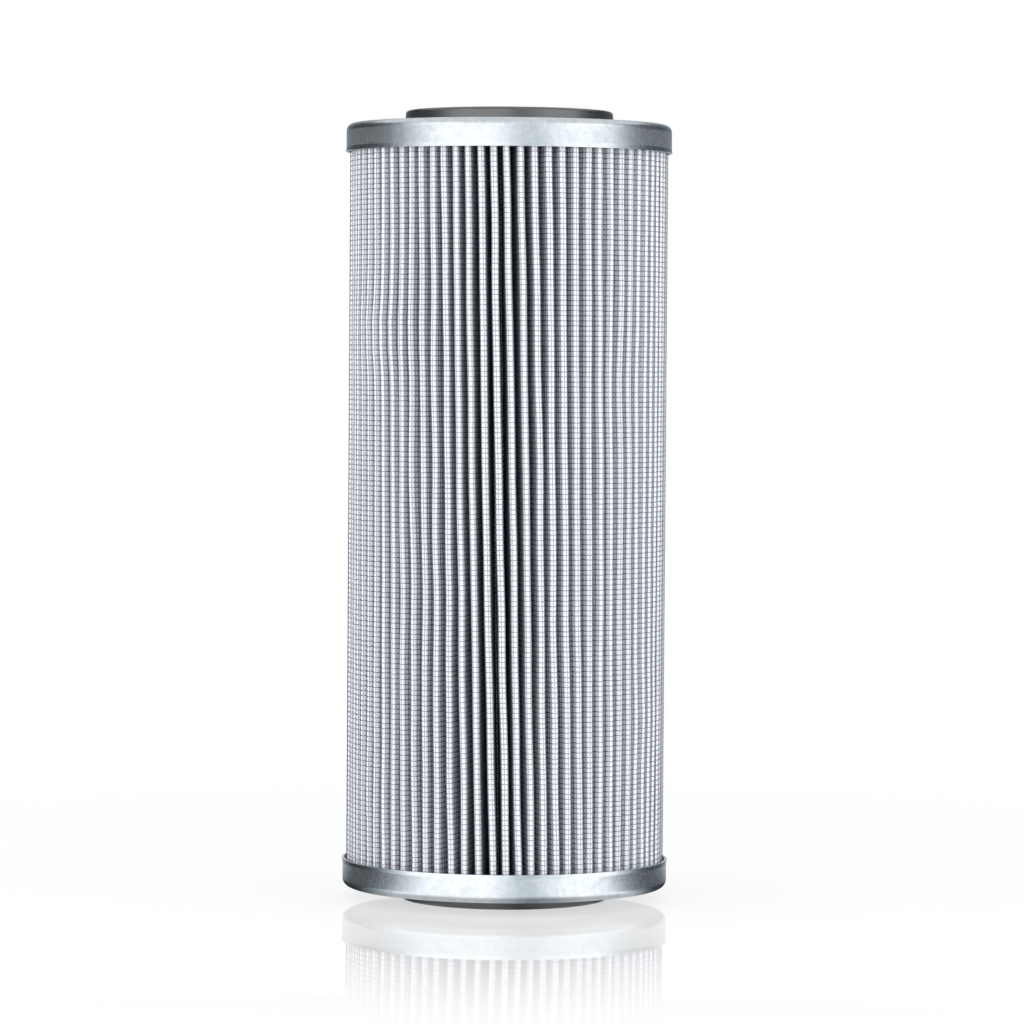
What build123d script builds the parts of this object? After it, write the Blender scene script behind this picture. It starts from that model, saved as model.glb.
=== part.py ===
from build123d import *
from math import asin, atan2, cos, degrees, hypot, radians, sin
import os

# Pleated hydraulic filter element. Millimetres and degrees.
# The origin is the middle of the bottom seal's end face, and +Z runs up the element's axis.

# The element as a whole
overall_length = 231.0  # from one seal's end face to the other's
cap_diameter = 95.25  # over the skirts of the end caps
seal_bore_diameter = 42.0  # what slides over the housing's spigot
core_diameter = 54.0  # outside of the support tube
pleat_count = 75

# End caps, each pressed from one sheet
cap_sheet = 0.7
skirt_height = 8.3
skirt_bend = 1.85  # radii are along the middle of the sheet
lip_flare = 0.2  # how far the skirt's free edge turns out
lip_height = 1.2
lip_bend = 2.0
collar_height = 6.5  # the collar is turned in round the middle hole
collar_bend = 0.85
collar_clearance = 0.2  # between the collar and the inside of the core

# Seals, moulded over the caps' collars
seal_standout = 3.8  # from the cap's face to the seal's end face
seal_diameter = 61.0
seal_draft = 0.2  # the flange narrows by this much towards its end face
seal_edge = 1.0
seal_lip_height = 2.3  # the bead that snaps in behind the collar
seal_lip_width = 0.6
seal_lip_slope = 1.2
bore_lead_in = 0.8
bore_inner_chamfer = 0.4

# Core tube, with staggered rows of round holes
core_wall = 0.8
core_hole_diameter = 8.5
core_holes_around = 10
core_rows = 13
core_plain_end = 15.0  # from the tube's end to the first row's centres

# Epoxy potting in each cap
potting_depth = 3.5
potting_bed = 0.8  # left under the end of the core

# The pleated pack, from its outside to its inside
outer_mesh_gauge = 0.30
web_gauge = 0.10
fiber_gauge = 0.25
inner_mesh_gauge = 0.25
tip_radius = 1.15  # outside of a pleat's outer fold
valley_radius = 1.10  # outside of its inner fold, against the core
skirt_clearance = 0.325  # from the pleat tips to the skirt
core_clearance = 0.1  # from the inner folds to the core

# The clip over the pack's two ends, on the +Y side
seam_angle = 90.0
clip_sheet = 0.25
clip_leg = 4.0

# Worked out from the values above
mid_plane = Plane.XY.offset(overall_length / 2)
cap_radius = cap_diameter / 2
core_radius = core_diameter / 2
core_bore_radius = core_radius - core_wall
collar_radius = core_bore_radius - collar_clearance
collar_bore_radius = collar_radius - cap_sheet
cap_floor = seal_standout + cap_sheet
collar_end = seal_standout + collar_height
core_end = cap_floor + potting_bed
core_length = overall_length - 2 * core_end
core_hole_radius = core_hole_diameter / 2
core_hole_pitch = 360 / core_holes_around
core_first_row = core_end + core_plain_end
core_row_pitch = (core_length - 2 * core_plain_end) / (core_rows - 1)
pleat_end = cap_floor + potting_depth
pleat_height = overall_length - 2 * pleat_end

outer_web_depth = outer_mesh_gauge
fiber_depth = outer_web_depth + web_gauge
inner_web_depth = fiber_depth + fiber_gauge
inner_mesh_depth = inner_web_depth + web_gauge
pack_gauge = inner_mesh_depth + inner_mesh_gauge

# Each fold is an arc about a centre on one of two rings, and straight flanks are tangent to both.
tip_ring = cap_radius - cap_sheet - skirt_clearance - tip_radius
valley_ring = core_radius + core_clearance + valley_radius
pleat_pitch = 360 / pleat_count
step_in = tip_ring - valley_ring * cos(radians(pleat_pitch / 2))
step_round = valley_ring * sin(radians(pleat_pitch / 2))
crossing = degrees(asin((tip_radius + valley_radius - pack_gauge) / hypot(step_in, step_round)))
flank_normal = degrees(atan2(step_round, -step_in)) - 90 + crossing
pleat_plane = Plane.XY.offset(pleat_end).rotated((0, 0, seam_angle))


def polar(radius, angle):
    return Vector(radius, 0).rotate(Axis.Z, angle)


def flank_top(pleat, side, depth):
    """Where a pleat's flank meets its outer fold, on a face `depth` in from the pack's outside."""
    centre = polar(tip_ring, pleat * pleat_pitch)
    return centre + polar(tip_radius - depth, pleat * pleat_pitch + side * flank_normal)


def layer_section(outside, inside):
    """Section through one layer of the pack, between two depths. The pleat at the seam has no outer fold."""
    with BuildLine() as tip:
        for depth in (outside, inside):
            CenterArc((tip_ring, 0), tip_radius - depth, -flank_normal, 2 * flank_normal)
    with BuildLine() as valley:
        for depth in (outside, inside):
            fold = CenterArc(
                polar(valley_ring, pleat_pitch / 2),
                valley_radius - pack_gauge + depth,
                flank_normal - 180,
                pleat_pitch - 2 * flank_normal,
            )
            Line(flank_top(0, 1, depth), fold @ 0)
            Line(fold @ 1, flank_top(1, -1, depth))
    with BuildSketch(pleat_plane) as section:
        with BuildLine():
            with PolarLocations(0, pleat_count):
                add(valley.line)
            with PolarLocations(0, pleat_count - 1, pleat_pitch, 360 - pleat_pitch):
                add(tip.line)
            for side in (1, -1):
                Line(flank_top(0, side, outside), flank_top(0, side, inside))
        make_face()
    return section.sketch


# Bottom end cap: one sheet with a collar turned in, a flat face, and a skirt with a flared lip
with BuildPart() as bottom_end_cap:
    with BuildSketch(Plane.XZ):
        face_middle = seal_standout + cap_sheet / 2
        skirt_middle = cap_radius - cap_sheet / 2
        skirt_end = seal_standout + skirt_height
        with BuildLine():
            FilletPolyline(
                (collar_radius - cap_sheet / 2, collar_end),
                (collar_radius - cap_sheet / 2, face_middle),
                (skirt_middle, face_middle),
                (skirt_middle, skirt_end - lip_height),
                (skirt_middle + lip_flare, skirt_end),
                radius=[collar_bend, skirt_bend, lip_bend],
            )
        trace(line_width=cap_sheet)
    revolve(axis=Axis.Z)

with BuildPart() as top_end_cap:
    mirror(bottom_end_cap.part, about=mid_plane)

# Bottom seal: a flange on the cap's face, a neck through the collar and a bead behind it
with BuildPart() as bottom_seal:
    with BuildSketch(Plane.XZ):
        bore_radius = seal_bore_diameter / 2
        flange_radius = seal_diameter / 2
        neck_round = collar_bend + cap_sheet / 2
        lip_radius = collar_bore_radius + seal_lip_width
        seal_end = collar_end + seal_lip_height
        with BuildLine():
            flank = Polyline(
                (bore_radius, seal_end - bore_inner_chamfer),
                (bore_radius, bore_lead_in),
                (bore_radius + bore_lead_in, 0),
                (flange_radius - seal_draft, 0),
                (flange_radius, seal_standout),
                (collar_bore_radius + neck_round, seal_standout),
            )
            neck = RadiusArc(
                flank @ 1, (collar_bore_radius, seal_standout + neck_round), neck_round
            )
            Polyline(
                neck @ 1,
                (collar_bore_radius, collar_end),
                (lip_radius, collar_end),
                (lip_radius, seal_end - seal_lip_slope),
                (lip_radius - seal_lip_width, seal_end),
                (bore_radius + bore_inner_chamfer, seal_end),
                flank @ 0,
            )
        flange = make_face()
        outer_corner = flange.vertices().filter_by_position(Axis.Y, 0, 0).sort_by(Axis.X)[-1]
        fillet(outer_corner, seal_edge)
    revolve(axis=Axis.Z)

with BuildPart() as top_seal:
    mirror(bottom_seal.part, about=mid_plane)

# Core tube: the perforated tube that the pleats lean on
with BuildPart() as core_tube:
    with BuildSketch(Plane.XY.offset(core_end)):
        Circle(core_radius)
        Circle(core_bore_radius, mode=Mode.SUBTRACT)
    extrude(amount=core_length)
    for first, turn in ((0, 0), (1, core_hole_pitch / 2)):
        rows = [(0, 0, core_first_row + row * core_row_pitch) for row in range(first, core_rows, 2)]
        with Locations(*rows):
            with PolarLocations(core_radius, core_holes_around, start_angle=turn):
                Cylinder(core_hole_radius, core_radius, rotation=(0, 90, 0), mode=Mode.SUBTRACT)

# Bottom potting: the epoxy ring that bonds the core, the pleats' ends and the cap
with BuildPart() as bottom_potting:
    with BuildSketch(Plane.XZ):
        collar_round = collar_bend - cap_sheet / 2
        skirt_round = skirt_bend - cap_sheet / 2
        potting_radius = cap_radius - cap_sheet
        with BuildLine():
            floor = Line(
                (collar_radius + collar_round, cap_floor), (potting_radius - skirt_round, cap_floor)
            )
            outer_round = RadiusArc(
                floor @ 1, (potting_radius, cap_floor + skirt_round), -skirt_round
            )
            inner_round = RadiusArc(
                floor @ 0, (collar_radius, cap_floor + collar_round), collar_round
            )
            Polyline(
                outer_round @ 1,
                (potting_radius, pleat_end),
                (core_radius, pleat_end),
                (core_radius, core_end),
                (collar_radius, core_end),
                inner_round @ 1,
            )
        make_face()
    revolve(axis=Axis.Z)

with BuildPart() as top_potting:
    mirror(bottom_potting.part, about=mid_plane)

# The five layers of the pleated pack, each nested in the one outside it
with BuildPart() as outer_wire_mesh:
    add(layer_section(0, outer_web_depth))
    extrude(amount=pleat_height)

with BuildPart() as outer_web:
    add(layer_section(outer_web_depth, fiber_depth))
    extrude(amount=pleat_height)

with BuildPart() as glass_fiber_media:
    add(layer_section(fiber_depth, inner_web_depth))
    extrude(amount=pleat_height)

with BuildPart() as inner_web:
    add(layer_section(inner_web_depth, inner_mesh_depth))
    extrude(amount=pleat_height)

with BuildPart() as inner_wire_mesh:
    add(layer_section(inner_mesh_depth, pack_gauge))
    extrude(amount=pleat_height)

# Side seam clip: a folded strip that grips the two ends of the pack along their whole height
with BuildPart() as side_seam_clip:
    with BuildSketch(pleat_plane):
        with BuildLine():
            for depth in (0, -clip_sheet):
                crown = CenterArc((tip_ring, 0), tip_radius - depth, -flank_normal, 2 * flank_normal)
                down = polar(clip_leg, flank_normal + 90)
                Line(crown @ 1, crown @ 1 + down)
                Line(crown @ 0, crown @ 0 + Vector(down.X, -down.Y))
            for side in (1, -1):
                down = polar(clip_leg, side * (flank_normal + 90))
                Line(flank_top(0, side, 0) + down, flank_top(0, side, -clip_sheet) + down)
        make_face()
    extrude(amount=pleat_height)

bottom_end_cap.part.label = "bottom_end_cap"
top_end_cap.part.label = "top_end_cap"
bottom_seal.part.label = "bottom_seal"
top_seal.part.label = "top_seal"
core_tube.part.label = "core_tube"
bottom_potting.part.label = "bottom_potting"
top_potting.part.label = "top_potting"
outer_wire_mesh.part.label = "outer_wire_mesh"
outer_web.part.label = "outer_web"
glass_fiber_media.part.label = "glass_fiber_media"
inner_web.part.label = "inner_web"
inner_wire_mesh.part.label = "inner_wire_mesh"
side_seam_clip.part.label = "side_seam_clip"

os.makedirs("parts", exist_ok=True)
export_step(bottom_end_cap.part, "parts/bottom_end_cap.step")
export_step(top_end_cap.part, "parts/top_end_cap.step")
export_step(bottom_seal.part, "parts/bottom_seal.step")
export_step(top_seal.part, "parts/top_seal.step")
export_step(core_tube.part, "parts/core_tube.step")
export_step(bottom_potting.part, "parts/bottom_potting.step")
export_step(top_potting.part, "parts/top_potting.step")
export_step(outer_wire_mesh.part, "parts/outer_wire_mesh.step")
export_step(outer_web.part, "parts/outer_web.step")
export_step(glass_fiber_media.part, "parts/glass_fiber_media.step")
export_step(inner_web.part, "parts/inner_web.step")
export_step(inner_wire_mesh.part, "parts/inner_wire_mesh.step")
export_step(side_seam_clip.part, "parts/side_seam_clip.step")
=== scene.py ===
import math

import bpy
import numpy as np
from mathutils import Matrix, Vector


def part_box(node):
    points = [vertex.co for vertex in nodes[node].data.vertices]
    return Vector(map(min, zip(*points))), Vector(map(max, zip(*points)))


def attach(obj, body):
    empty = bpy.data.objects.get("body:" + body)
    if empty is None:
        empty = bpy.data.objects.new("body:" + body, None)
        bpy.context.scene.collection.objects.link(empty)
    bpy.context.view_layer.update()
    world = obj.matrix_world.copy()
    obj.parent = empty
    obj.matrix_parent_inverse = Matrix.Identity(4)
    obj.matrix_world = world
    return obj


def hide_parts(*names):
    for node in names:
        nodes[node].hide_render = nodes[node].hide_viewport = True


# Pleated hydraulic filter element, dressed over its CAD frame. Metres and radians.
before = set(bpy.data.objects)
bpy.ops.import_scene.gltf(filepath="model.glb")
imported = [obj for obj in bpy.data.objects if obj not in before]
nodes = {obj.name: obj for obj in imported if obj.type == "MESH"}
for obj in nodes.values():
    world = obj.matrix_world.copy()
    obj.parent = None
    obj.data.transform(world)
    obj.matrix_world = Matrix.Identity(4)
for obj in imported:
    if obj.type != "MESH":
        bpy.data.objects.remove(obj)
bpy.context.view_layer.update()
MM = 0.001
FULL_TURN = 2 * math.pi

# The pleated pack: its two ends meet at the seam, behind, and its layers' depths run in from its outer face
PLEATS = 75
PITCH = FULL_TURN / PLEATS
SEAM = math.pi / 2
TIP_R = 1.15 * MM
VALLEY_R = 1.10 * MM
CORE_GAP = 0.1 * MM
WEB_DEPTH = 0.30 * MM
MEDIA_DEPTH = 0.40 * MM
INNER_WEB_DEPTH = 0.65 * MM
INNER_MESH_DEPTH = 0.75 * MM
PACK_DEPTH = 1.00 * MM

pack_low, pack_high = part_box("outer_wire_mesh")
_, core_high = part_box("core_tube")
PACK_R = pack_high[0]
TIP_RING = PACK_R - TIP_R
VALLEY_RING = core_high[0] + CORE_GAP + VALLEY_R
FOOT, HEAD = pack_low[2], pack_high[2]
HEIGHT = HEAD - FOOT

# Angle, from a pleat's own radius, of the line square to its flank
step_in = TIP_RING - VALLEY_RING * math.cos(PITCH / 2)
step_round = VALLEY_RING * math.sin(PITCH / 2)
crossing = math.asin((TIP_R + VALLEY_R - PACK_DEPTH) / math.hypot(step_in, step_round))
FLANK = math.atan2(step_round, -step_in) - math.pi / 2 + crossing

# How finely the pack is divided: steps round each bend, and levels up the height
TIP_STEPS = 6
VALLEY_STEPS = 3
LEVELS = 29

# The wire cloth, its wires' depths measured like the layers'
WIRE_PITCH = 1.45 * MM
WIRE_WIDTH = 0.27 * MM
WARPS_PER_PLEAT = 26
WEFT_DEPTH = 0.16 * MM
WARP_DEPTH = 0.03 * MM
WARP_EDGE_DEPTH = 0.17 * MM

# How the wires stray from an even weave: a waver of the wefts, and uneven steps between the warps
WEFT_WAVER = 0.06 * MM
WAVERS_ROUND = 37
WAVER_STEP = 2.1
WARP_SWELL = 0.012
WARP_SWELL_STEP = 0.0115
WARP_JITTER = 0.05

# How the folds stray from straight. Heights here are shares of the pack's height, from its middle.
# The valleys are turned against the tips, and all straying dies out towards the seam
SLANT = math.radians(-2.0)
SEAM_CALM = 1.2

# Twist from foot to head, in degrees: its peak in front and how narrow that is, a wide part, and a part that
# differs between the two sides
FRONT_TWIST = 5.2
FRONT_FOCUS = 5.8
WIDE_TWIST = 0.65
SIDE_TWIST = 1.2

# Sizes of the slow and of the short waves, in degrees
SLOW_SIZE = 0.085
SHORT_SIZE = 0.035

# Kinks, with the push in degrees, the half width in radians, and the share left of a kink right in front
KINK_COUNT = 40
KINK_REACH = 0.45
KINK_PUSH = 0.6
KINK_WIDTH = 0.18
KINK_HEIGHT = 0.05
KINK_CALM = 0.3

# Wider dents: bearing from the front in radians, height, push in degrees, half width and half height
DENTS = (
    (-0.95, 0.235, 1.7, 0.30, 0.045),
    (-0.55, -0.10, -0.7, 0.25, 0.07),
    (0.85, 0.17, 0.8, 0.25, 0.06),
    (1.1, -0.28, -0.9, 0.25, 0.05),
)

# The grid on which that straying is worked out, with a row for each level of the sheets
ANGLE_STEPS = 1500
RISE_STEPS = LEVELS - 1

rng = np.random.default_rng(7)


# ---------------------------------------------------------------- shape of the pleats

def off_seam(angle):
    """Nil at the seam, where the clip holds the folds, and one away from it."""
    return 1 - np.exp(-((angle - SEAM) * (SEAM + FULL_TURN - angle) / SEAM_CALM) ** 2)


def turned(points, shift):
    """Points turned round the axis, each by its own angle, or one point turned by each angle."""
    x = points[:, 0] * np.cos(shift) - points[:, 1] * np.sin(shift)
    y = points[:, 0] * np.sin(shift) + points[:, 1] * np.cos(shift)
    return np.c_[x, y]


def arc(ring, middle, radius, turn):
    """Points of an arc whose centre stands on a ring round the axis, at the angle called middle."""
    centre = ring * np.array([math.cos(middle), math.sin(middle)])
    return np.c_[np.cos(turn), np.sin(turn)] * radius + centre


def folds(depth):
    """Points along one face of the pack, anticlockwise from the seam, and the angle of each point's fold."""
    tip_radius = TIP_R - depth
    valley_radius = VALLEY_R - PACK_DEPTH + depth
    points = [arc(TIP_RING, SEAM, tip_radius, [SEAM + FLANK])]
    angles = [SEAM]
    for valley in range(PLEATS):
        middle = SEAM + (valley + 0.5) * PITCH
        start = middle - PITCH / 2 + FLANK - math.pi
        turn = np.linspace(0, PITCH - 2 * FLANK, VALLEY_STEPS + 1) + start
        points.append(arc(VALLEY_RING, middle, valley_radius, turn))
        angles += [middle] * len(turn)
        if valley < PLEATS - 1:
            middle += PITCH / 2
            turn = np.linspace(-FLANK, FLANK, TIP_STEPS + 1) + middle
            points.append(arc(TIP_RING, middle, tip_radius, turn))
            angles += [middle] * len(turn)
    points.append(arc(TIP_RING, SEAM + FULL_TURN, tip_radius, [SEAM + FULL_TURN - FLANK]))
    angles.append(SEAM + FULL_TURN)
    points, angles = np.vstack(points), np.array(angles)
    inward = (PACK_R - np.hypot(points[:, 0], points[:, 1])) / (PACK_R - VALLEY_RING)
    return turned(points, SLANT * inward * off_seam(angles)), angles


def waves(count, round_low, round_high, up_low, up_high):
    """Random waves: how many go round the pack, half waves up it, and a phase for each way."""
    return list(zip(
        rng.integers(round_low, round_high, count),
        rng.uniform(up_low, up_high, count),
        rng.uniform(0, FULL_TURN, count),
        rng.uniform(0, FULL_TURN, count),
    ))


SLOW_WAVES = waves(14, 3, 34, 0.4, 2.2)
SHORT_WAVES = waves(16, 8, 40, 5.0, 12.0)
KINKS = list(zip(
    rng.uniform(0, FULL_TURN, KINK_COUNT),
    rng.uniform(-KINK_REACH, KINK_REACH, KINK_COUNT),
    rng.uniform(-KINK_PUSH, KINK_PUSH, KINK_COUNT),
))


def swelling(turn, rise, width, tall):
    """One at a place and less away from it, by the turn and the rise from there."""
    return np.exp(-(np.sin(turn / 2) * 2 / width) ** 2 - (rise / tall) ** 2)


def drift_table():
    """Shift of the folds in radians, by height and angle: the twist with its waves, kinks and dents."""
    angle = np.linspace(SEAM, SEAM + FULL_TURN, ANGLE_STEPS + 1)[None, :]
    rise = np.linspace(-0.5, 0.5, RISE_STEPS + 1)[:, None]
    front = angle + math.pi / 2
    twist = (FRONT_TWIST * np.exp(FRONT_FOCUS * (np.cos(front) - 1))
             + WIDE_TWIST * (1 + np.cos(front)) - SIDE_TWIST * np.sin(front))
    wave = 0
    for size, kinds in ((SLOW_SIZE, SLOW_WAVES), (SHORT_SIZE, SHORT_WAVES)):
        for round_count, up_count, round_phase, up_phase in kinds:
            wave = wave + (size * np.sin(round_count * angle + round_phase)
                           * np.sin(up_count * math.pi * rise + up_phase))
    for place, level, push in KINKS:
        calm = KINK_CALM + (1 - KINK_CALM) * math.cos(place) ** 2
        wave = wave + calm * push * swelling(angle - place, rise - level, KINK_WIDTH, KINK_HEIGHT)
    for bearing, level, push, width, tall in DENTS:
        wave = wave - push * swelling(front - bearing, rise - level, width, tall)
    return np.radians(-twist * rise + wave * off_seam(angle))


DRIFT = drift_table()


def lean(angle, height):
    """How far the folds at an angle have shifted round the axis at a height."""
    across = (np.asarray(angle) - SEAM) / FULL_TURN * ANGLE_STEPS
    up = (np.asarray(height) - FOOT) / HEIGHT * RISE_STEPS
    column = np.clip(across.astype(int), 0, ANGLE_STEPS - 1)
    row = np.clip(up.astype(int), 0, RISE_STEPS - 1)
    right, above = across - column, up - row
    low = DRIFT[row, column] * (1 - right) + DRIFT[row, column + 1] * right
    high = DRIFT[row + 1, column] * (1 - right) + DRIFT[row + 1, column + 1] * right
    return low * (1 - above) + high * above


def leaned(points, angles, height):
    """The points of one face at a height, shifted round the axis."""
    return np.c_[turned(points, lean(angles, height)), np.full(len(points), height)]


# ---------------------------------------------------------------- meshes

def mesh_piece(name, vertices, faces, material, smooth=False):
    """An object from arrays of points and of faces that all have the same number of corners."""
    mesh = bpy.data.meshes.new(name)
    mesh.vertices.add(len(vertices))
    mesh.vertices.foreach_set("co", np.asarray(vertices, np.float32).ravel())
    faces = np.asarray(faces, np.int32)
    mesh.loops.add(faces.size)
    mesh.loops.foreach_set("vertex_index", faces.ravel())
    mesh.polygons.add(len(faces))
    mesh.polygons.foreach_set("loop_start", np.arange(0, faces.size, faces.shape[1], dtype=np.int32))
    mesh.polygons.foreach_set("use_smooth", np.full(len(faces), smooth))
    mesh.update(calc_edges=True)
    mesh.validate()
    piece = bpy.data.objects.new(name, mesh)
    bpy.context.scene.collection.objects.link(piece)
    mesh.materials.append(material)
    return piece


def grid_faces(rows, columns, first=0):
    """Quads of a grid of points laid row by row."""
    corner = first + (np.arange(rows - 1)[:, None] * columns + np.arange(columns - 1)).ravel()
    return np.c_[corner, corner + 1, corner + columns + 1, corner + columns]


def pleated_sheet(name, outside, inside, material):
    """A closed sheet between two depths of the pack, leaning as the folds do."""
    heights = np.linspace(FOOT, HEAD, LEVELS)
    skins = []
    for depth in (outside, inside):
        points, angles = folds(depth)
        skins.append(np.vstack([leaned(points, angles, z) for z in heights]))
    columns = len(points)
    count = columns * LEVELS
    outer = grid_faces(LEVELS, columns)
    inner = grid_faces(LEVELS, columns, count)[:, ::-1]
    along = np.arange(columns - 1)
    low = np.c_[along, along + count, along + 1 + count, along + 1]
    top = low[:, ::-1] + (LEVELS - 1) * columns
    up = np.arange(LEVELS - 1) * columns
    start = np.c_[up, up + columns, up + columns + count, up + count]
    end = start[:, ::-1] + columns - 1
    return mesh_piece(name, np.vstack(skins), np.vstack([outer, inner, low, top, start, end]), material)


def weft_wires(name, first, last, material):
    """Wires that run round the pack, each a narrow band along the folds."""
    points, angles = folds(WEFT_DEPTH)
    columns = len(points)
    vertices, faces = [], []
    for row in range(first, last):
        height = FOOT + (row + 0.5) * WIRE_PITCH
        waver = WEFT_WAVER * np.sin(angles * WAVERS_ROUND + row * WAVER_STEP)
        for side in (-0.5, 0.5):
            edge = leaned(points, angles, height)
            edge[:, 2] += side * WIRE_WIDTH + waver
            vertices.append(edge)
        faces.append(grid_faces(2, columns, (row - first) * 2 * columns))
    return mesh_piece(name, np.vstack(vertices), np.vstack(faces), material, smooth=True)


def warp_places():
    """Where the wires that run up the pack stand, measured along the folds from the seam."""
    ridge, _ = folds(WARP_DEPTH)
    length = np.hypot(*np.diff(ridge, axis=0).T).sum()
    count = WARPS_PER_PLEAT * PLEATS
    swell = WARP_SWELL * np.sin(np.arange(count) * WARP_SWELL_STEP)
    places = np.cumsum(1 + swell + rng.uniform(-WARP_JITTER, WARP_JITTER, count))
    return places * (length - WIRE_PITCH) / places[-1]


def warp_wires(name, places, material):
    """Wires that run up the pack, each a low ridge at one place on the folds."""
    ridge, angles = folds(WARP_DEPTH)
    edge, _ = folds(WARP_EDGE_DEPTH)
    run = np.r_[0, np.cumsum(np.hypot(*np.diff(ridge, axis=0).T))]
    heights = np.linspace(FOOT, HEAD, LEVELS)
    vertices, faces = [], []
    for number, place in enumerate(places):
        lines = []
        for side, points in ((-0.5, edge), (0, ridge), (0.5, edge)):
            at = place + side * WIRE_WIDTH
            spot = np.array([[np.interp(at, run, points[:, 0]), np.interp(at, run, points[:, 1])]])
            shift = lean(np.interp(at, run, angles), heights)
            lines.append(np.c_[turned(spot, shift), heights])
        vertices.append(np.stack(lines, 1).reshape(-1, 3))
        faces.append(grid_faces(LEVELS, 3, number * 3 * LEVELS))
    return mesh_piece(name, np.vstack(vertices), np.vstack(faces), material, smooth=True)


# ---------------------------------------------------------------- parts of materials

def grey(level):
    """A colour with as much of red, green and blue."""
    return (level, level, level)


def new_material(name):
    """A material with its node tree and its shader."""
    material = bpy.data.materials.new(name)
    material.use_nodes = True
    tree = material.node_tree
    shader = tree.nodes["Principled BSDF"]
    return material, tree, shader


def node(tree, kind, **values):
    """A node with its settings, and with its inputs where a name starts with in_."""
    made = tree.nodes.new(kind)
    for key, value in values.items():
        if key.startswith("in_"):
            made.inputs[key[3:].replace("_", " ")].default_value = value
        else:
            setattr(made, key, value)
    return made


def noise(tree, scale, detail=4.0, roughness=0.55):
    """A value that varies with the place on the element."""
    place = node(tree, "ShaderNodeTexCoord")
    made = node(tree, "ShaderNodeTexNoise", in_Scale=scale, in_Detail=detail, in_Roughness=roughness)
    tree.links.new(place.outputs["Object"], made.inputs["Vector"])
    return made.outputs["Fac"]


def spread(tree, value, low, high, start=0.3, end=0.7):
    """A value moved from start..end to low..high."""
    made = node(tree, "ShaderNodeMapRange")
    made.inputs["From Min"].default_value = start
    made.inputs["From Max"].default_value = end
    made.inputs["To Min"].default_value = low
    made.inputs["To Max"].default_value = high
    tree.links.new(value, made.inputs["Value"])
    return made.outputs["Result"]


def ramp(tree, value, *stops):
    """Colours by value, each stop a place from 0 to 1 and its colour."""
    made = node(tree, "ShaderNodeValToRGB")
    bar = made.color_ramp
    while len(bar.elements) < len(stops):
        bar.elements.new(0.5)
    for element, (place, colour) in zip(bar.elements, stops):
        element.position = place
        element.color = (*colour, 1)
    tree.links.new(value, made.inputs["Fac"])
    return made.outputs["Color"]


def bump(tree, shader, value, strength, distance):
    """Fine relief drawn by a value, its distance in metres."""
    made = node(tree, "ShaderNodeBump", in_Strength=strength, in_Distance=distance)
    tree.links.new(value, made.inputs["Height"])
    tree.links.new(made.outputs["Normal"], shader.inputs["Normal"])


def radius_from_axis(tree):
    """Distance from the element's axis, in metres."""
    place = node(tree, "ShaderNodeTexCoord")
    flat = node(tree, "ShaderNodeVectorMath", operation="MULTIPLY")
    flat.inputs[1].default_value = (1, 1, 0)
    tree.links.new(place.outputs["Object"], flat.inputs[0])
    length = node(tree, "ShaderNodeVectorMath", operation="LENGTH")
    tree.links.new(flat.outputs["Vector"], length.inputs[0])
    return length.outputs["Value"]


def mixed(tree, share, first, second):
    """Two shaders mixed, the second by its share."""
    made = node(tree, "ShaderNodeMixShader")
    tree.links.new(share, made.inputs["Fac"])
    tree.links.new(first, made.inputs[1])
    tree.links.new(second, made.inputs[2])
    return made.outputs[0]


# ---------------------------------------------------------------- materials

# Depths in from the tips over which painted shade darkens the wire and greys the fibre
WIRE_SHADE_START = 0.3 * MM
WIRE_SHADE_FULL = 1.9 * MM
FIBER_SHADE_START = 2.6 * MM
FIBER_SHADE_FULL = 7 * MM


def steel(name, low, high, rough_low, rough_high, grain=1500.0, bump_height=0.03 * MM):
    """Plated steel: cloudy plating, a fine grain and uneven gloss."""
    material, tree, shader = new_material(name)
    shader.inputs["Metallic"].default_value = 1.0
    cloud = noise(tree, scale=420.0, detail=6.0, roughness=0.7)
    tree.links.new(ramp(tree, cloud, (0.3, low), (0.7, high)), shader.inputs["Base Color"])
    fine = noise(tree, scale=grain, detail=3.0, roughness=0.6)
    tree.links.new(spread(tree, fine, rough_low, rough_high), shader.inputs["Roughness"])
    bump(tree, shader, fine, strength=0.35, distance=bump_height)
    return material


def rubber(name, low, high):
    """Moulded rubber with a soft sheen."""
    material, tree, shader = new_material(name)
    cloud = noise(tree, scale=160.0)
    tree.links.new(ramp(tree, cloud, (0.3, low), (0.7, high)), shader.inputs["Base Color"])
    fine = noise(tree, scale=1800.0, detail=3.0)
    tree.links.new(spread(tree, fine, low=0.20, high=0.32), shader.inputs["Roughness"])
    shader.inputs["IOR"].default_value = 1.62
    shader.inputs["Specular IOR Level"].default_value = 0.95
    bump(tree, shader, fine, strength=0.2, distance=0.03 * MM)
    return material


def epoxy(name, low, high):
    """Cast resin, uneven as it sets."""
    material, tree, shader = new_material(name)
    cloud = noise(tree, scale=220.0, detail=3.0)
    tree.links.new(ramp(tree, cloud, (0.3, low), (0.7, high)), shader.inputs["Base Color"])
    tree.links.new(spread(tree, cloud, low=0.25, high=0.4), shader.inputs["Roughness"])
    bump(tree, shader, cloud, strength=0.3, distance=0.3 * MM)
    return material


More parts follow.
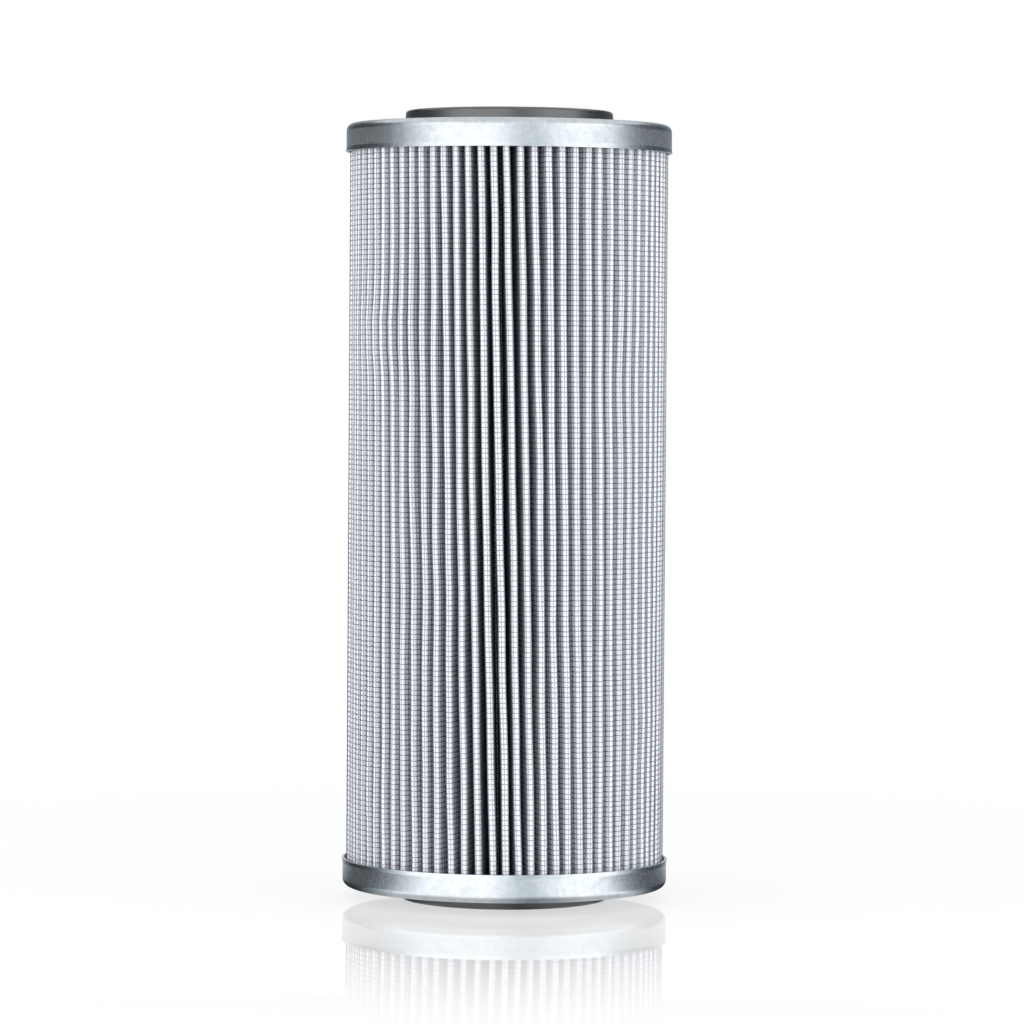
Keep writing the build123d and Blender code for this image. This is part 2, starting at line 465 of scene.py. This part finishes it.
def fiber(name, deep_shade, shallow, mottle):
    """Pale non-woven fibre, greyed down in the folds by painted shade."""
    material, tree, shader = new_material(name)
    radius = radius_from_axis(tree)
    # Painted shade: the fibre's colour darkens going deeper into the folds
    depth = spread(tree, radius, 0.0, 1.0, start=PACK_R - FIBER_SHADE_FULL, end=PACK_R - FIBER_SHADE_START)
    tone = ramp(tree, depth, (0.0, deep_shade), (1.0, shallow))
    strands = noise(tree, scale=2600.0, detail=5.0, roughness=0.65)
    mix = node(tree, "ShaderNodeMix", data_type="RGBA", blend_type="MULTIPLY")
    mix.inputs["Factor"].default_value = 1.0
    tree.links.new(tone, mix.inputs["A"])
    tree.links.new(ramp(tree, strands, (0.3, grey(mottle)), (0.6, grey(1))), mix.inputs["B"])
    tree.links.new(mix.outputs["Result"], shader.inputs["Base Color"])
    tree.links.new(spread(tree, strands, low=0.75, high=0.95), shader.inputs["Roughness"])
    bump(tree, shader, strands, strength=0.5, distance=0.06 * MM)
    return material


def wire(name, deep_shade, low, high):
    """Drawn wire, bright and shiny on the folds' crests; darker and not metallic down in the folds, which is
    painted shade.
    """
    material, tree, shader = new_material(name)
    radius = radius_from_axis(tree)
    # Painted shade: deeper in the folds the wire turns to the dark colour and loses its metal
    depth = spread(tree, radius, 1.0, 0.0, start=PACK_R - WIRE_SHADE_FULL, end=PACK_R - WIRE_SHADE_START)
    fine = noise(tree, scale=900.0, detail=3.0, roughness=0.6)
    mix = node(tree, "ShaderNodeMix", data_type="RGBA")
    tree.links.new(depth, mix.inputs["Factor"])
    tree.links.new(ramp(tree, fine, (0.3, low), (0.7, high)), mix.inputs["A"])
    mix.inputs["B"].default_value = (*deep_shade, 1)
    tree.links.new(mix.outputs["Result"], shader.inputs["Base Color"])
    tree.links.new(spread(tree, depth, 1.0, 0.0, start=0.0, end=1.0), shader.inputs["Metallic"])
    tree.links.new(spread(tree, fine, low=0.28, high=0.42), shader.inputs["Roughness"])
    bump(tree, shader, fine, strength=0.35, distance=0.03 * MM)
    return material


zinc = steel("zinc_plate", (0.495, 0.53, 0.56), (0.65, 0.69, 0.715), 0.22, 0.36, 2400.0, 0.01 * MM)
core_steel = steel("core_steel", (0.55, 0.56, 0.58), (0.70, 0.71, 0.72), 0.30, 0.50)
wire_steel = steel("wire_steel", (0.45, 0.46, 0.47), (0.60, 0.61, 0.62), 0.35, 0.55, 900.0)
# The first colour of the wire and of each fibre is painted shade, for deep in the folds
cloth_wire = wire("cloth_wire", (0.12, 0.13, 0.16), (0.34, 0.355, 0.39), (0.46, 0.475, 0.51))
clip_steel = steel("clip_steel", (0.55, 0.57, 0.60), (0.68, 0.70, 0.72), 0.28, 0.45)
black_rubber = rubber("black_rubber", (0.018, 0.018, 0.020), (0.030, 0.030, 0.033))
black_epoxy = epoxy("black_epoxy", (0.10, 0.10, 0.11), (0.17, 0.17, 0.18))
white_web = fiber("white_web", (0.82, 0.83, 0.87), (0.88, 0.90, 0.935), 0.96)
glass_mat = fiber("glass_mat", (0.50, 0.51, 0.53), (0.85, 0.86, 0.88), 0.85)

NODE_MATERIALS = {
    "top_end_cap": zinc,
    "bottom_end_cap": zinc,
    "top_seal": black_rubber,
    "bottom_seal": black_rubber,
    "core_tube": core_steel,
    "top_potting": black_epoxy,
    "bottom_potting": black_epoxy,
    "side_seam_clip": clip_steel,
}
for name, material in NODE_MATERIALS.items():
    nodes[name].data.materials.clear()
    nodes[name].data.materials.append(material)


# ---------------------------------------------------------------- pieces

# The layers under the wire cloth: name, the node each stands for, slot, outer and inner depth, material
LAYERS = (
    ("outer_web_pleats", "outer_web", "white_web", WEB_DEPTH, MEDIA_DEPTH, white_web),
    ("glass_fiber_pleats", "glass_fiber_media", "glass_fiber", MEDIA_DEPTH, INNER_WEB_DEPTH, glass_mat),
    ("inner_web_pleats", "inner_web", "white_web", INNER_WEB_DEPTH, INNER_MESH_DEPTH, glass_mat),
    ("inner_mesh_pleats", "inner_wire_mesh", "wire_cloth", INNER_MESH_DEPTH, PACK_DEPTH, wire_steel),
)
for name, stood_for, slot, outside, inside, material in LAYERS:
    layer = pleated_sheet(name, outside, inside, material)
    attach(layer, "root")
    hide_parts(stood_for)

# The outer wire cloth, in four pieces to keep each one light
weft_count = int(HEIGHT / WIRE_PITCH)
weft_half = weft_count // 2
warps = warp_places()
warp_half = len(warps) // 2
cloth = [
    weft_wires("outer_mesh_weft_low", 0, weft_half, cloth_wire),
    weft_wires("outer_mesh_weft_high", weft_half, weft_count, cloth_wire),
    warp_wires("outer_mesh_warp_left", warps[:warp_half], cloth_wire),
    warp_wires("outer_mesh_warp_right", warps[warp_half:], cloth_wire),
]
for piece in cloth:
    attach(piece, "root")
    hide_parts("outer_wire_mesh")


# ---------------------------------------------------------------- floor and what gloss sees

# Brightness round the element, by bearing in degrees from the front: two soft boxes with a dimmer gap
# between them, dark at the sides and dim right behind. GLEAM is the strength of it all
STUDIO = (
    (-180, 0.42), (-158, 0.14), (-142, 0.03), (-112, 0.03), (-94, 0.09), (-78, 0.42), (-60, 1.0),
    (-8, 1.0), (2, 0.74), (13, 0.44), (26, 0.66), (42, 1.0), (76, 1.0), (85, 0.48),
    (100, 0.12), (116, 0.05), (140, 0.05), (158, 0.14), (180, 0.42),
)
GLEAM = 1.85

# What is dim is bluer, by these shares of red and green. Close to the element the glow fades, a painted
# shadow that gloss sees on the floor
DIM_RED = 0.74
DIM_GREEN = 0.88
SHADOW_GLOW = 0.4
NEAR_R = 50 * MM
CLEAR_R = 66 * MM

# The floor lies just under the lower seal's end. Its mirror image fades outwards, and gloss sees on it a
# painted reflection of the studio, squeezed into a part of a turn
FLOOR = -0.05 * MM
FLOOR_REACH = 6
FLOOR_FADE_R = 0.4
FLOOR_TURN = 0.78

# The round screen about the element
SCREEN_R = 1.5
SCREEN_LOW = 0.24
SCREEN_HIGH = 1.2
SCREEN_POINTS = 97


def studio_light(tree, share_of_turn=1.0):
    """A glow of the studio's brightness in each direction round the axis, dimmed close to the element by
    painted shadow.
    """
    place = node(tree, "ShaderNodeTexCoord")
    parts = node(tree, "ShaderNodeSeparateXYZ")
    tree.links.new(place.outputs["Object"], parts.inputs[0])
    ahead = node(tree, "ShaderNodeMath", operation="MULTIPLY")
    ahead.inputs[1].default_value = -1.0
    tree.links.new(parts.outputs["Y"], ahead.inputs[0])
    bearing = node(tree, "ShaderNodeMath", operation="ARCTAN2")
    tree.links.new(parts.outputs["X"], bearing.inputs[0])
    tree.links.new(ahead.outputs[0], bearing.inputs[1])
    widest = math.pi * share_of_turn
    turn = spread(tree, bearing.outputs[0], 0.0, 1.0, start=-widest, end=widest)
    stops = []
    for angle, level in STUDIO:
        red = level * (DIM_RED + (1 - DIM_RED) * level)
        green = level * (DIM_GREEN + (1 - DIM_GREEN) * level)
        stops.append(((angle + 180) / 360, (red, green, level)))
    glow = node(tree, "ShaderNodeEmission")
    tree.links.new(ramp(tree, turn, *stops), glow.inputs["Color"])
    # Painted shadow: the glow dims close to the element
    strength = spread(tree, radius_from_axis(tree), SHADOW_GLOW * GLEAM, GLEAM, start=NEAR_R, end=CLEAR_R)
    tree.links.new(strength, glow.inputs["Strength"])
    return glow.outputs[0]


def floor_material():
    """White floor: a soft shadow and a fading mirror image near the element, plain white further off."""
    material, tree, shader = new_material("white_floor")
    shader.inputs["Base Color"].default_value = (0.93, 0.93, 0.93, 1)
    shader.inputs["Roughness"].default_value = 0.6
    shader.inputs["Specular IOR Level"].default_value = 0.0
    away = spread(tree, radius_from_axis(tree), 0.0, 1.0, start=0.0, end=FLOOR_FADE_R)
    mirror = node(tree, "ShaderNodeBsdfGlossy", in_Color=(1, 1, 1, 1), in_Roughness=0.02)
    polish = ramp(tree, away, (0.11, grey(0.5)), (0.30, grey(0.76)), (0.72, grey(0)))
    near = mixed(tree, polish, shader.outputs[0], mirror.outputs[0])
    white = node(tree, "ShaderNodeEmission", in_Color=(1, 1, 1, 1), in_Strength=1.0)
    whiteness = ramp(tree, away, (0.11, grey(0.60)), (0.30, grey(0.46)), (0.62, grey(0.75)), (1.0, grey(1)))
    seen = mixed(tree, whiteness, near, white.outputs[0])
    rays = node(tree, "ShaderNodeLightPath")
    plain = mixed(tree, rays.outputs["Is Camera Ray"], near, seen)
    # Gloss sees a painted reflection of the studio on the floor instead of the floor itself
    shown = mixed(tree, rays.outputs["Is Glossy Ray"], plain, studio_light(tree, FLOOR_TURN))
    tree.links.new(shown, tree.nodes["Material Output"].inputs["Surface"])
    return material


def studio_screen():
    """A round screen about the element, which only gloss sees."""
    turn = np.linspace(0, FULL_TURN, SCREEN_POINTS)
    x, y = np.sin(turn) * SCREEN_R, -np.cos(turn) * SCREEN_R
    rows = [np.c_[x, y, np.full(SCREEN_POINTS, z)] for z in (SCREEN_LOW, SCREEN_HIGH)]
    material, tree, _ = new_material("studio_screen")
    tree.links.new(studio_light(tree), tree.nodes["Material Output"].inputs["Surface"])
    card = mesh_piece("studio_screen", np.vstack(rows), grid_faces(2, SCREEN_POINTS), material)
    card.visible_camera = False
    card.visible_diffuse = False
    card.visible_transmission = False
    card.visible_shadow = False


corners = [(x * FLOOR_REACH, y * FLOOR_REACH, FLOOR) for x, y in ((-1, -1), (1, -1), (1, 1), (-1, 1))]
floor = mesh_piece("floor", corners, [(0, 1, 2, 3)], floor_material())
studio_screen()


# ---------------------------------------------------------------- light and camera

# Strength of the light all round, and the height that the lamps face
AMBIENT = 0.81
AIM_HEIGHT = 0.115

# Lamps: name, bearing in degrees from the front, distance, rise, width, height and watts
LAMPS = (
    ("front", -7, 1.3, 0.28, 0.9, 0.7, 3.0),
    ("front_left", -38, 1.3, 0.40, 1.2, 1.3, 3.5),
    ("front_right", 40, 1.3, 0.40, 1.2, 1.3, 3.6),
    ("side_left", -74, 1.2, 0.40, 0.6, 1.2, 4.9),
    ("side_right", 76, 1.2, 0.40, 0.6, 1.2, 3.3),
    ("overhead", 0, 0.05, 1.6, 1.6, 1.6, 2.5),
)

# The camera, with its lens in millimetres
FOCAL_LENGTH = 162.4
SENSOR_WIDTH = 36
CAMERA_PLACE = (0.00155, -1.356, 0.1612)
PITCH_DOWN = 0.035
ROLL = 0.007


def studio_world():
    """Soft bluish light all round, which the camera, gloss and clear things see as plain white."""
    world = bpy.data.worlds.new("studio")
    bpy.context.scene.world = world
    world.use_nodes = True
    air = world.node_tree
    rays = node(air, "ShaderNodeLightPath")
    seen = node(air, "ShaderNodeMath", operation="MAXIMUM")
    air.links.new(rays.outputs["Is Camera Ray"], seen.inputs[0])
    air.links.new(rays.outputs["Is Glossy Ray"], seen.inputs[1])
    seen_through = node(air, "ShaderNodeMath", operation="MAXIMUM")
    air.links.new(seen.outputs[0], seen_through.inputs[0])
    air.links.new(rays.outputs["Is Transmission Ray"], seen_through.inputs[1])
    plain = air.nodes["Background"]
    plain.inputs["Color"].default_value = (0.93, 0.96, 1, 1)
    plain.inputs["Strength"].default_value = AMBIENT
    white = node(air, "ShaderNodeBackground", in_Color=(1, 1, 1, 1), in_Strength=1.0)
    blend = mixed(air, seen_through.outputs[0], plain.outputs[0], white.outputs[0])
    air.links.new(blend, air.nodes["World Output"].inputs["Surface"])


def softbox(name, bearing, distance, rise, width, height, power):
    """A rectangular lamp that faces the element; gloss sees the screen instead."""
    lamp = bpy.data.lights.new(name, "AREA")
    lamp.shape = "RECTANGLE"
    lamp.size = width
    lamp.size_y = height
    lamp.energy = power
    holder = bpy.data.objects.new(name, lamp)
    bpy.context.scene.collection.objects.link(holder)
    turn = math.radians(bearing)
    holder.location = (distance * math.sin(turn), -distance * math.cos(turn), rise)
    towards = Vector((0, 0, AIM_HEIGHT)) - holder.location
    holder.rotation_euler = towards.to_track_quat("-Z", "Y").to_euler()
    holder.visible_glossy = False


studio_world()
for lamp in LAMPS:
    softbox(*lamp)

lens = bpy.data.cameras.new("camera")
lens.sensor_width = SENSOR_WIDTH
lens.lens = FOCAL_LENGTH
lens.clip_start = 0.05
lens.clip_end = 50
camera = bpy.data.objects.new("camera", lens)
bpy.context.scene.collection.objects.link(camera)
camera.matrix_world = (Matrix.Translation(CAMERA_PLACE)
                       @ Matrix.Rotation(math.pi / 2 - PITCH_DOWN, 4, "X")
                       @ Matrix.Rotation(ROLL, 4, "Z"))
bpy.context.scene.camera = camera
bpy.context.scene.view_settings.view_transform = "Standard"
